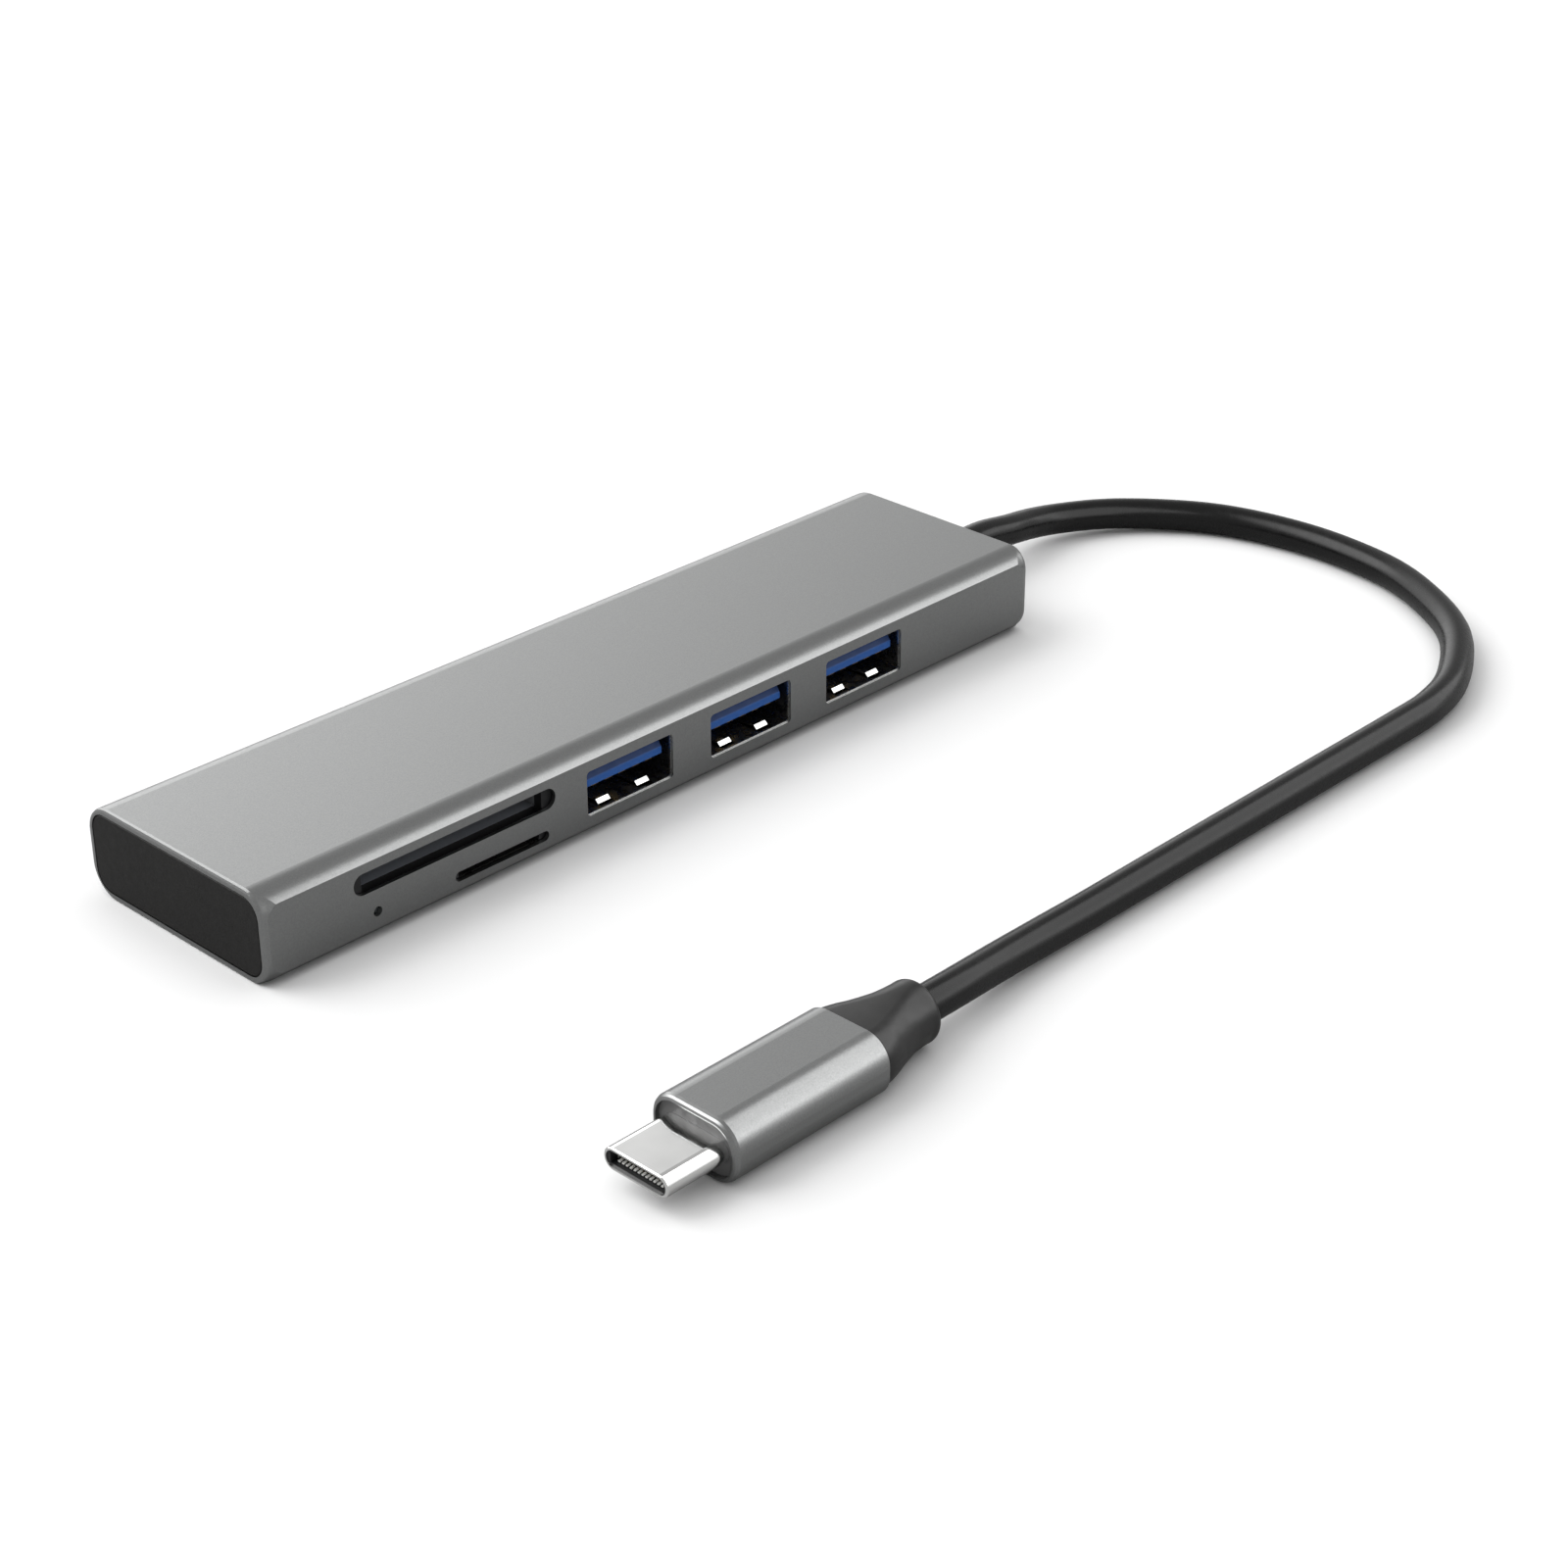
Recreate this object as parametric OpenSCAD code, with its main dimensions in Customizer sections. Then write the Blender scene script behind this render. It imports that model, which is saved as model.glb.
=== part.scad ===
// USB hub: aluminium sleeve with three USB-A ports, two card slots and a captive USB-C cable.
// Millimetres. Origin at the middle of the hub body's underside, +X towards the cable exit,
// ports facing -Y, +Z up. The cable and its plug lie on the same surface as the body.

/* [Hub body] */
// Length of the hub body
hub_l = 116; // [112:0.5:118]
// Width of the hub body, from the port face to the back
hub_w = 29.3; // [29:0.1:32]
// Height of the hub body
hub_h = 10.75; // [10.5:0.05:13]
// Rounding of the body's four long edges
edge_r = 3.5; // [2.5:0.1:4]
// Depth of the flat milled into the port side
face_cut = 0.7; // [0.2:0.1:0.9]
// Wall of the sleeve
wall = 1.2; // [1:0.1:1.4]
// Rounding around both ends of the sleeve
end_round = 0.35; // [0.2:0.05:0.5]

/* [USB-A ports] */
// Position of the first port along the body
usb_x = -8.5; // [-9:0.1:-7]
// Distance from one port to the next
usb_pitch = 18.6; // [17:0.1:19.5]
// Depth of the receptacles
usb_depth = 13.9; // [12:0.1:14]

/* [Card slots] */
// Position of the large card slot along the body
sd_x = -33; // [-34:0.1:-32]
// Width of the large card slot
sd_w = 27.2; // [26:0.1:28]
// Height of the large card slot
sd_h = 2.45; // [2.4:0.05:2.6]
// Position of the small card slot along the body
micro_x = -27; // [-29:0.1:-26]
// Width of the small card slot
micro_w = 13; // [12:0.1:14]
// Height of the small card slot
micro_h = 1.15; // [1.1:0.05:1.25]
// Diameter of the status light's hole
light_d = 1.1; // [0.8:0.1:1.4]

/* [Cable and plug] */
// Diameter of the cable
cable_d = 4; // [3.2:0.1:4.2]
// Width of the plug's sleeve
plug_w = 11; // [10.8:0.1:12.5]
// Height of the plug's sleeve
plug_h = 6.75; // [6.5:0.05:7.5]
// Length of the plug's sleeve
plug_l = 20.4; // [18:0.2:24]

/* [Hidden] */
$fn = 48;

ALUMINIUM = [0.55, 0.56, 0.57];
BLACK = [0.05, 0.05, 0.06];
GRAPHITE = [0.16, 0.16, 0.16];
STEEL = [0.78, 0.79, 0.80];
BLUE = [0.10, 0.25, 0.60];
GOLD = [0.85, 0.68, 0.30];
GREEN = [0.05, 0.25, 0.15];
CERAMIC = [0.60, 0.50, 0.38];
CLEAR = [0.80, 0.85, 0.85];
eps = 0.01;

// hub body
mid_z = hub_h / 2;
uncut_w = hub_w + face_cut;
uncut_y = -face_cut / 2;
face_y = -hub_w / 2;
port_wall = 0.8;
cavity_w = hub_w - port_wall - wall;
cavity_y = (port_wall - wall) / 2;
cavity_h = hub_h - 2 * wall;
cavity_r = edge_r - wall;
seat_grow = 0.45;
seat_depth = 2;
seat_port_grow = 0.2;
seat_w = cavity_w + seat_grow + seat_port_grow;
seat_y = cavity_y + (seat_grow - seat_port_grow) / 2;
seat_h = cavity_h + 2 * seat_grow;
cap_gap = 0.05;

// growth of the port side's outline, from an end inwards: a rounded rim, then a shallow sweep to the flat
face_sweep = [[0, -0.38], [0.1, -0.22], [0.35, -0.1], [0.9, 0.03], [1.6, 0.22], [2.3, 0.45]];

// card sockets stand behind the port face in a shallow relief, receptacles reach almost through it
relief_wall = 0.5;
front_y = face_y + relief_wall + 0.05;
usb_in = [12.5, 5.12];
usb_sheet = 0.3;
usb_out = [usb_in[0] + 2 * usb_sheet, usb_in[1] + 2 * usb_sheet];
usb_rim = 0.12;
usb_lip = 0.2;
port_y = face_y + usb_lip + 0.05;
tongue_w = 11.1;
tongue_h = 1.84;
tongue_front = 0.7;
block_y = 9.6;
latch_x = 2.9;
latch_w = 1.8;
contact_xs = [-3.5, -1, 1, 3.5];
pad_xs = [-4, -2, 0, 2, 4];

// circuit board
board_t = 1;
board_top = mid_z - 0.475;
board_bottom = board_top - board_t;
board_end = hub_l / 2 - 3.5;
board_w = hub_w - 3.1;

// card sockets
sd_z = board_top + 2.17;
sd_body_w = 27.4;
sd_card_w = 24.3;
sd_depth = 25.5;
sd_floor = -sd_h / 2;
sd_roof = sd_h / 2 + 0.03;
sd_sheet = 0.2;
micro_z = board_bottom - 1.05;
micro_body_w = 13.8;
micro_card_w = 11.2;
micro_depth = 15;
micro_sheet = 0.15;
light_x = -43.8;
light_z = board_bottom - 0.6;

// cable
exit_x = 4;
exit_point = [hub_l / 2 + exit_x, 0, mid_z];
plug_front_x = -50;
plug_y = -66.5;
plug_z = plug_h / 2;
boot_l = 9.7;
plug_end = [plug_front_x + plug_l + boot_l, plug_y, plug_z];
rest_z = cable_d / 2 + 0.05;
route = [exit_point,
    [67, 0.25, 5.2], [72, 0.35, 4.45], [76.9, 0.85, 3.62], [81.7, 0.55, 2.9], [87.25, -1.7, 2.5],
    [91.45, -4.75, 2.25], [95.5, -9.35, 2.1], [98.25, -14.15, rest_z], [99.95, -20, rest_z],
    [100.8, -27, rest_z], [100.4, -34, rest_z], [99, -40.6, rest_z], [96, -47, rest_z],
    [91.4, -53.6, rest_z], [86, -58.3, rest_z], [78, -62.65, rest_z], [71, -64.4, rest_z],
    [64, -64.7, rest_z], [50, -64.8, rest_z], [35, -64.9, rest_z], [20, -65, rest_z],
    [8, -65.1, rest_z], [0, -65.2, 2.2], [-7, -65.6, 2.6], [-14, -66.3, 3.2], plug_end];
cable_sides = 12;
steps = 2;

// ---- shapes shared by several pieces ----

// rounded w x h section along Z; each station is [position, growth of the outline]
module ruled_bar(w, h, r, stations) {
    first = stations[0][0];
    last = stations[len(stations) - 1][0];
    for (sx = [-1, 1])
        for (sy = [-1, 1])
            translate([sx * (w / 2 - r), sy * (h / 2 - r), 0])
                rotate_extrude()
                    polygon(concat([[0, first]], [for (s = stations) [r + s[1], s[0]]], [[0, last]]));
    ruled_slab(w, h - 2 * r, stations);
    rotate([0, 0, 90])
        ruled_slab(h, w - 2 * r, stations);
}

module ruled_slab(across, along, stations) {
    last = len(stations) - 1;
    if (along > eps)
        rotate([90, 0, 0])
            linear_extrude(along, center = true)
                polygon(concat(
                    [for (s = stations) [across / 2 + s[1], s[0]]],
                    [for (i = [last:-1:0]) [-across / 2 - stations[i][1], stations[i][0]]]));
}

// turn a bar built along Z to run along X, or into the body along +Y
module along_x() {
    rotate([90, 0, 90])
        children();
}

module into_y() {
    rotate([-90, 0, 0])
        children();
}

module box(x, y, z) {
    translate([x[0], y[0], z[0]])
        cube([x[1] - x[0], y[1] - y[0], z[1] - z[0]]);
}

// opening that starts at depth y behind the port face and runs through the wall
module face_opening(w, h, r, y = -1) {
    into_y()
        ruled_bar(w, h, r, [[y, 0], [port_wall + 1, 0]]);
}

function unit(v) = v / norm(v);
function heading(path, i) =
    unit(path[min(i + 1, len(path) - 1)] - path[max(i - 1, 0)]);
function beside(path, i, d) =
    path[i] + d * [-heading(path, i)[1], heading(path, i)[0]];

// sheet strip that follows a 2D path, centred on it
module ribbon(path, t) {
    last = len(path) - 1;
    polygon(concat(
        [for (i = [0:last]) beside(path, i, t / 2)],
        [for (i = [last:-1:0]) beside(path, i, -t / 2)]));
}

// ribbon drawn in the YZ plane and given a width along X
module spring_strip(path, t, w) {
    rotate([90, 0, 90])
        linear_extrude(w, center = true)
            ribbon(path, t);
}

module rounded_plate(size, r) {
    linear_extrude(size[2]) {
        square([size[0] - 2 * r, size[1]], center = true);
        square([size[0], size[1] - 2 * r], center = true);
        for (sx = [-1, 1])
            for (sy = [-1, 1])
                translate([sx * (size[0] / 2 - r), sy * (size[1] / 2 - r)])
                    circle(r, $fn = 24);
    }
}

// ---- enclosure ----

module hub_section(w, y, h, r, stations) {
    translate([0, y, mid_z])
        along_x()
            ruled_bar(w, h, r, stations);
}

// outside of the sleeve; at its ends the creases of the port side fade into a rounded rim
module sleeve_outline() {
    half = hub_l / 2;
    rim = [[0, -end_round], [0.3 * end_round, -0.3 * end_round], [end_round, 0]];
    intersection() {
        hub_section(uncut_w, uncut_y, hub_h, edge_r, both_ends(rim, half));
        hub_section(hub_w + 1, 0.5, hub_h + 0.4, edge_r - 0.5, both_ends(face_sweep, half));
    }
}

// stations for a bar from -half to half that has the same treatment at each end
function both_ends(stations, half) = concat(
    [for (s = stations) [s[0] - half, s[1]]],
    [for (i = [len(stations) - 1:-1:0]) [half - stations[i][0], stations[i][1]]]);

module sleeve() {
    half = hub_l / 2;
    color(ALUMINIUM)
        difference() {
            sleeve_outline();
            box([-half - 1, half + 1], [face_y - 2, face_y], [-1, hub_h + 1]);
            hub_section(cavity_w, cavity_y, cavity_h, cavity_r, [[-half - 1, 0], [half + 1, 0]]);
            for (s = [-1, 1])
                translate([s * half, 0, 0])
                    hub_section(seat_w, seat_y, seat_h, cavity_r, [[-seat_depth, 0], [seat_depth, 0]]);
            port_openings();
        }
}

module port_openings() {
    box([-48.5, usb_x + 2 * usb_pitch + 8.5],
        [face_y + relief_wall, face_y + port_wall + 1],
        [wall + 0.5, hub_h - wall - 0.5]);
    for (k = [0:2])
        translate([usb_x + k * usb_pitch, face_y, mid_z]) {
            face_opening(usb_in[0] + 2 * usb_rim, usb_in[1] + 2 * usb_rim, 0.5);
            face_opening(usb_out[0] + 0.2, usb_out[1] + 0.2, 0.7, usb_lip);
        }
    translate([sd_x, face_y, sd_z])
        face_opening(sd_w, sd_h, sd_h / 2);
    translate([micro_x, face_y, micro_z])
        face_opening(micro_w, micro_h, micro_h / 2);
    translate([light_x, face_y - 1, light_z])
        into_y()
            cylinder(d = light_d, h = port_wall + 2, $fn = 32);
}

// plate that closes one end of the sleeve, with ribs that hold the circuit board
module cap_blank() {
    half = hub_l / 2;
    difference() {
        union() {
            translate([half, 0, 0])
                hub_section(seat_w - 2 * cap_gap, seat_y, seat_h - 2 * cap_gap, cavity_r - cap_gap,
                    [[-seat_depth, 0], [-0.15, 0], [0, -0.15]]);
            for (s = [-1, 1])
                box([half - 5, half - seat_depth], [s * 8 - 2.5, s * 8 + 2.5],
                    [wall + 0.4, hub_h - wall - 0.4]);
        }
        box([half - 6, board_end + 0.1], [-20, 20], [board_bottom - 0.02, board_top + 0.02]);
    }
}

module end_cap() {
    color(GRAPHITE)
        mirror([1, 0, 0])
            cap_blank();
}

module cable_cap() {
    color(GRAPHITE)
        difference() {
            cap_blank();
            translate([hub_l / 2 - 4, 0, mid_z])
                rotate([0, 90, 0])
                    cylinder(d = 5.4, h = 6);
        }
}

module cable_grommet() {
    color(BLACK)
        translate([hub_l / 2, 0, mid_z])
            rotate([0, 90, 0])
                rotate_extrude()
                    polygon([[0, -3.2], [3.4, -3.2], [3.4, -2.1], [2.65, -2.1], [2.65, 0.05],
                        [3.4, 0.05], [3.4, 0.6], [2.6, exit_x], [0, exit_x]]);
}

// ---- circuit board and the parts soldered to it ----

module main_board() {
    color(GREEN)
        difference() {
            box([-board_end, board_end], [-board_w / 2, board_w / 2], [board_bottom, board_top]);
            for (k = [0:2])
                box([usb_x + k * usb_pitch - 6.85, usb_x + k * usb_pitch + 6.85],
                    [-20, port_y + usb_depth + 0.2], [0, hub_h]);
        }
}

module chip(x, y, side, h) {
    translate([x, y, board_top]) {
        rounded_plate([side, side, h], 0.2);
        translate([-side / 2 + 0.9, side / 2 - 0.9, h - eps])
            cylinder(r = 0.3, h = 0.03, $fn = 24);
    }
}

module hub_chip() {
    color(BLACK)
        chip(10, 7.6, 8, 0.9);
}

module reader_chip() {
    color(BLACK)
        chip(-10, 7.6, 6, 0.9);
}

module crystal() {
    color(STEEL)
        translate([0.5, 7.6, board_top])
            rounded_plate([3.2, 2.5, 0.8], 0.4);
}

module inductor() {
    color(GRAPHITE)
        translate([24, 7.6, board_top])
            rounded_plate([4.2, 4.2, 1.9], 0.8);
}

module bulk_capacitors() {
    color(CERAMIC)
        for (k = [0:2])
            translate([usb_x + k * usb_pitch, 7.6, board_bottom - 1.9])
                rounded_plate([3.5, 2.8, 1.9], 0.3);
}

module chip_row(xs, y, size) {
    for (x = xs)
        translate([x, y, board_top + size[2] / 2])
            cube(size, center = true);
}

module ceramic_capacitors() {
    color(CERAMIC) {
        chip_row([5.5:3:14.5], board_w / 2 - 0.7, [1.6, 0.8, 0.8]);
        chip_row([-13:3:-7], board_w / 2 - 0.7, [1.6, 0.8, 0.8]);
        chip_row([29:3:41], 10, [1.6, 0.8, 0.8]);
    }
}

module resistors() {
    color(BLACK) {
        chip_row([29:2:41], 7.5, [1, 0.5, 0.35]);
        chip_row([29:2:41], 5, [1, 0.5, 0.35]);
        chip_row([18.5:1.5:20], 11.5, [1, 0.5, 0.35]);
    }
}

module status_led() {
    color(STEEL)
        translate([light_x - 0.8, front_y + 2.2, board_bottom - 1.1])
            cube([1.6, 1, 1.1]);
}

module light_pipe() {
    color(CLEAR)
        translate([light_x, face_y + 0.7, light_z])
            into_y() {
                cylinder(d = light_d - 0.1, h = 1.9, $fn = 24);
                translate([0, 0, 0.2])
                    cylinder(d = 2, h = 0.5, $fn = 24);
            }
}

// ---- USB-A receptacle, drawn with its mouth at the origin and its depth along +Y ----

module at_port(k) {
    translate([usb_x + (k - 1) * usb_pitch, port_y, mid_z])
        children();
}

module usb_a_shell() {
    color(STEEL)
        difference() {
            union() {
                into_y()
                    ruled_bar(usb_out[0], usb_out[1], 0.6, [[0, -0.08], [0.08, 0], [usb_depth, 0]]);
                for (s = [-1, 1])
                    box([s * 7.2 - 0.9, s * 7.2 + 0.9], [8, 10.5],
                        [board_top - mid_z, board_top - mid_z + usb_sheet]);
            }
            into_y()
                ruled_bar(usb_in[0], usb_in[1], 0.3, [[-1, 0], [usb_depth + 1, 0]]);
            for (x = [-latch_x, latch_x])
                box([x - latch_w / 2 - 0.2, x + latch_w / 2 + 0.2], [0.45, 8.1], [-5, 5]);
        }
}

module usb_a_tongue() {
    block_h = usb_in[1] / 2 - 0.08;
    profile = [[tongue_front, 0.3], [tongue_front + 0.35, 0], [block_y, 0], [block_y, -block_h],
        [usb_depth - 0.1, -block_h], [usb_depth - 0.1, block_h], [block_y, block_h],
        [block_y, tongue_h], [tongue_front + 0.55, tongue_h], [tongue_front, tongue_h - 0.8]];
    color(BLUE)
        difference() {
            intersection() {
                rotate([90, 0, 90])
                    linear_extrude(usb_in[0] - 0.3, center = true)
                        polygon(profile);
                union() {
                    box([-tongue_w / 2, tongue_w / 2], [0, block_y + 1], [-3, 3]);
                    box([-7, 7], [block_y, usb_depth], [-3, 3]);
                }
            }
            for (x = contact_xs)
                box([x - 0.6, x + 0.6], [3.4, block_y + 0.3], [-1, 1.15]);
        }
}

// fixed metal: five pads under the tongue's nose and nine solder tails behind the shell
module usb_a_terminals() {
    tail_z = board_top - mid_z;
    color(GOLD) {
        for (x = pad_xs)
            box([x - 0.5, x + 0.5], [tongue_front + 0.45, tongue_front + 2.2], [-0.1, 0]);
        for (x = [-4:1:4])
            box([x - 0.2, x + 0.2], [usb_depth - 0.1, usb_depth + 1.8], [tail_z, tail_z + 0.2]);
    }
}

module usb_a_contacts() {
    path = [[block_y + 0.2, 0.5], [8.6, 0.35], [5.2, -0.45], [4.6, -0.5], [4, -0.1], [3.7, 0.2]];
    color(GOLD)
        for (x = contact_xs)
            translate([x, 0, 0])
                spring_strip(path, 0.2, 0.9);
}

// pair of retention springs cut from the bottom wall; the top wall has the same pair upside down
module usb_a_latch() {
    path = [[8, -2.71], [7.2, -2.7], [1.9, -2.25], [1.4, -2.22], [1.02, -2.6]];
    color(STEEL)
        for (x = [-latch_x, latch_x])
            translate([x, 0, 0])
                spring_strip(path, 0.22, latch_w);
}

// ---- card sockets, drawn with the middle of the slot at the origin ----

module at_sd() {
    translate([sd_x, front_y, sd_z])
        children();
}

module sd_housing() {
    low = board_top - sd_z;
    half = sd_body_w / 2;
    color(GRAPHITE)
        at_sd()
            difference() {
                union() {
                    box([-half, half], [0.5, sd_depth], [low, sd_floor]);
                    box([-half, half], [0.1, sd_depth], [low + 0.4, sd_roof]);
                }
                box([-sd_card_w / 2, sd_card_w / 2], [-1, sd_depth - 1.5], [sd_floor, 5]);
                box([-sd_card_w / 2, sd_card_w / 2], [-1, 1.15], [-5, 5]);
                for (i = [0:8])
                    box([i * 2.5 - 10.6, i * 2.5 - 9.4], [14.6, 22.4], [sd_floor - 0.7, 0]);
                box([-sd_card_w / 2 - 1.1, 0], [13.5, 21.2], [sd_floor, sd_floor + 1.9]);
                box([0, sd_card_w / 2 + 1.1], [5.5, 13.2], [sd_floor, sd_floor + 1.9]);
            }
}

module sd_cover() {
    half = sd_body_w / 2;
    color(STEEL)
        at_sd() {
            box([-half - sd_sheet, half + sd_sheet], [0.3, sd_depth], [sd_roof, sd_roof + sd_sheet]);
            for (x = [-half - sd_sheet, half])
                box([x, x + sd_sheet], [0.3, sd_depth], [board_top - sd_z, sd_roof + eps]);
        }
}

module sd_contacts() {
    path = [[22.2, -0.12], [21.2, -0.1], [16.6, 0.65], [16, 0.68], [15, 0.1]];
    color(GOLD)
        at_sd()
            for (i = [0:8])
                translate([i * 2.5 - 10, 0, sd_floor])
                    spring_strip(path, 0.18, 0.9);
}

module sd_terminals() {
    color(GOLD)
        at_sd()
            for (i = [0:8])
                box([i * 2.5 - 10.3, i * 2.5 - 9.7], [sd_depth, sd_depth + 1.3],
                    [board_top - sd_z, board_top - sd_z + 0.2]);
}

// spring blade that a card's edge pushes aside, drawn for the -X rail
module card_lever(y) {
    half = sd_card_w / 2;
    color(STEEL)
        at_sd()
            translate([-half, y, sd_floor + 0.3])
                linear_extrude(1.2)
                    ribbon([[-0.6, 7], [-0.6, 6.2], [0.3, 1.8], [0.3, 1.3], [-0.35, 0.4]], 0.2);
}

module sd_detect_lever() {
    card_lever(13.8);
}

module sd_protect_lever() {
    translate([2 * sd_x, 0, 0])
        mirror([1, 0, 0])
            card_lever(5.8);
}

module at_microsd() {
    translate([micro_x, front_y, micro_z])
        children();
}

module microsd_housing() {
    half = micro_body_w / 2;
    top = board_bottom - micro_z;
    color(BLACK)
        at_microsd()
            difference() {
                box([-half, half], [0.1, micro_depth], [-micro_h / 2, top]);
                box([-micro_card_w / 2, micro_card_w / 2], [-1, micro_depth - 1.3], [-5, micro_h / 2]);
                for (i = [0:7])
                    box([i * 1.1 - 4.2, i * 1.1 - 3.5], [5.4, 11.6], [0, top - 0.05]);
            }
}

module microsd_cover() {
    half = micro_body_w / 2;
    color(STEEL)
        at_microsd() {
            box([-half - micro_sheet, half + micro_sheet], [0.3, micro_depth],
                [-micro_h / 2 - micro_sheet, -micro_h / 2]);
            for (x = [-half - micro_sheet, half])
                box([x, x + micro_sheet], [0.3, micro_depth], [-micro_h / 2 - eps, board_bottom - micro_z]);
        }
}

module microsd_contacts() {
    path = [[11.5, 0.68], [10.6, 0.66], [7.1, 0.22], [6.6, 0.22], [5.8, 0.6]];
    color(GOLD)
        at_microsd()
            for (i = [0:7])
                translate([i * 1.1 - 3.85, 0, 0])
                    spring_strip(path, 0.14, 0.5);
}

module microsd_terminals() {
    top = board_bottom - micro_z;
    color(GOLD)
        at_microsd()
            for (i = [0:7])
                box([i * 1.1 - 4.05, i * 1.1 - 3.65], [micro_depth, micro_depth + 1.1], [top - 0.15, top]);
}

// ---- cable ----

function spline(a, b, c, d, t) =
    b + 0.5 * t * (c - a + t * (2 * a - 5 * b + 4 * c - d + t * (3 * b - a - 3 * c + d)));

function smooth(points, n) = concat(
    [for (i = [0:len(points) - 2])
        for (j = [0:n - 1])
            spline(points[max(i - 1, 0)], points[i], points[i + 1],
                points[min(i + 2, len(points) - 1)], j / n)],
    [points[len(points) - 1]]);

// the first and last rings are square to the hub's end and to the plug
function ring_heading(path, i) =
    i == 0 ? [1, 0, 0] : i == len(path) - 1 ? [-1, 0, 0] : heading(path, i);
function ring(centre, along, r, n) =
    let (side = unit(cross(along, [0, 0, 1])), up = cross(side, along))
    [for (k = [0:n - 1]) centre + r * (cos(360 * k / n) * side + sin(360 * k / n) * up)];

// closed skin over equal rings of n points
module skin(rings, n) {
    count = len(rings);
    points = [for (r = rings) for (p = r) p];
    walls = [for (i = [0:count - 2])
        for (k = [0:n - 1])
            [i * n + k, (i + 1) * n + k, (i + 1) * n + (k + 1) % n, i * n + (k + 1) % n]];
    polyhedron(points, concat(
        [[for (k = [0:n - 1]) k]],
        walls,
        [[for (k = [n - 1:-1:0]) (count - 1) * n + k]]));
}

module cable() {
    path = smooth(route, steps);
    color(BLACK)
        skin([for (i = [0:len(path) - 1])
            ring(path[i], ring_heading(path, i), cable_d / 2, cable_sides)], cable_sides);
}

function wire_y(i) = (i - 1.5) * 0.95;
function pad_point(i, row) = [45.5 - 3 * row, (i - 1.5) * 3, board_top + 0.65];

module cable_wires() {
    start_x = hub_l / 2 - 3.2;
    color(BLUE)
        for (row = [0, 1])
            for (i = [0:3]) {
                z = mid_z + 0.3 + row;
                path = smooth([[start_x, wire_y(i), z], [start_x - 1.2, wire_y(i), z],
                    [50, wire_y(i) * 1.5, z + 0.3], pad_point(i, row) + [1.8, 0, 0.7 + 0.5 * row],
                    pad_point(i, row)], 2);
                skin([for (j = [0:len(path) - 1]) ring(path[j], heading(path, j), 0.4, 8)], 8);
            }
}

module solder_pads() {
    color(STEEL)
        for (row = [0, 1])
            for (i = [0:3])
                translate([pad_point(i, row)[0], pad_point(i, row)[1], board_top])
                    cylinder(r1 = 0.9, r2 = 0.6, h = 0.2, $fn = 24);
}

// ---- plug, drawn with its front rim at the origin, lying along X ----

module at_plug() {
    translate([plug_front_x, plug_y, plug_z])
        children();
}

module plug_sleeve() {
    color(ALUMINIUM)
        at_plug()
            along_x()
                difference() {
                    ruled_bar(plug_w, plug_h, 2.95,
                        [[0, -0.48], [0.1, -0.27], [0.3, -0.1], [0.6, 0], [plug_l - 0.2, 0], [plug_l, -0.2]]);
                    ruled_bar(plug_w - 1.2, plug_h - 1.2, 2.35, [[-1, 0], [plug_l + 1, 0]]);
                }
}

module plug_insert() {
    color(BLACK)
        at_plug()
            difference() {
                along_x()
                    ruled_bar(plug_w - 1.24, plug_h - 1.24, 2.33, [[0.5, 0], [plug_l, 0]]);
                along_x()
                    ruled_bar(8.27, 2.42, 1.21, [[0, 0], [4.2, 0]]);
                box([4.1, 15.2], [-3.6, 3.6], [-0.42, 0.42]);
            }
}

module plug_board() {
    color(GREEN)
        at_plug()
            box([4.2, 15], [-3.5, 3.5], [-0.4, 0.4]);
}

module plug_boot() {
    stations = [[0, 10.5, 6.4, 2.9], [0.9, 10.4, 6.3, 2.95], [2.1, 9.85, 6.2, 3], [3.3, 9, 6.1, 3],
        [4.7, 8.1, 6.1, 3], [6.1, 7.3, 6.2, 3.05], [7.4, 6.9, 6.45, 3.2], [8.3, 6.7, 6.65, 3.3],
        [9.1, 6.7, 6.7, 3.33], [9.5, 6.4, 6.4, 3.18], [boot_l, 5.9, 5.9, 2.93]];
    n = 24;
    color(GRAPHITE)
        at_plug()
            translate([plug_l, 0, 0])
                skin([for (s = stations) [for (k = [n - 1:-1:0]) boot_point(s, k * 360 / n + 7.5)]], n);
}

// point of a rounded section [along, width, height, corner radius] in one of its corner arcs
function boot_point(s, a) =
    [s[0],
        sign(cos(a)) * (s[1] / 2 - s[3]) + s[3] * cos(a),
        sign(sin(a)) * (s[2] / 2 - s[3]) + s[3] * sin(a)];

module usb_c_shell() {
    color(STEEL)
        at_plug()
            along_x()
                difference() {
                    ruled_bar(8.25, 2.4, 1.2, [[-7.1, -0.1], [-7, 0], [4.1, 0]]);
                    ruled_bar(7.65, 1.8, 0.9, [[-8, 0], [5, 0]]);
                }
}

module usb_c_insulator() {
    color(BLACK)
        at_plug()
            difference() {
                along_x()
                    ruled_bar(7.62, 1.77, 0.885, [[-6.9, 0], [4, 0]]);
                box([-8, -1.2], [-3.42, 3.42], [-0.62, 0.62]);
            }
}

// one row of contact beams, drawn for the upper side of the mouth
module usb_c_contact_row() {
    color(GOLD)
        at_plug()
            for (i = [-5.5:1:5.5])
                translate([0, i * 0.5, 0])
                    rotate([90, 0, 0])
                        linear_extrude(0.26, center = true)
                            ribbon([[-1.3, 0.46], [-4.6, 0.36], [-5.6, 0.34], [-6.5, 0.44]], 0.12);
}

module usb_c_upper_contacts() {
    usb_c_contact_row();
}

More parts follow.
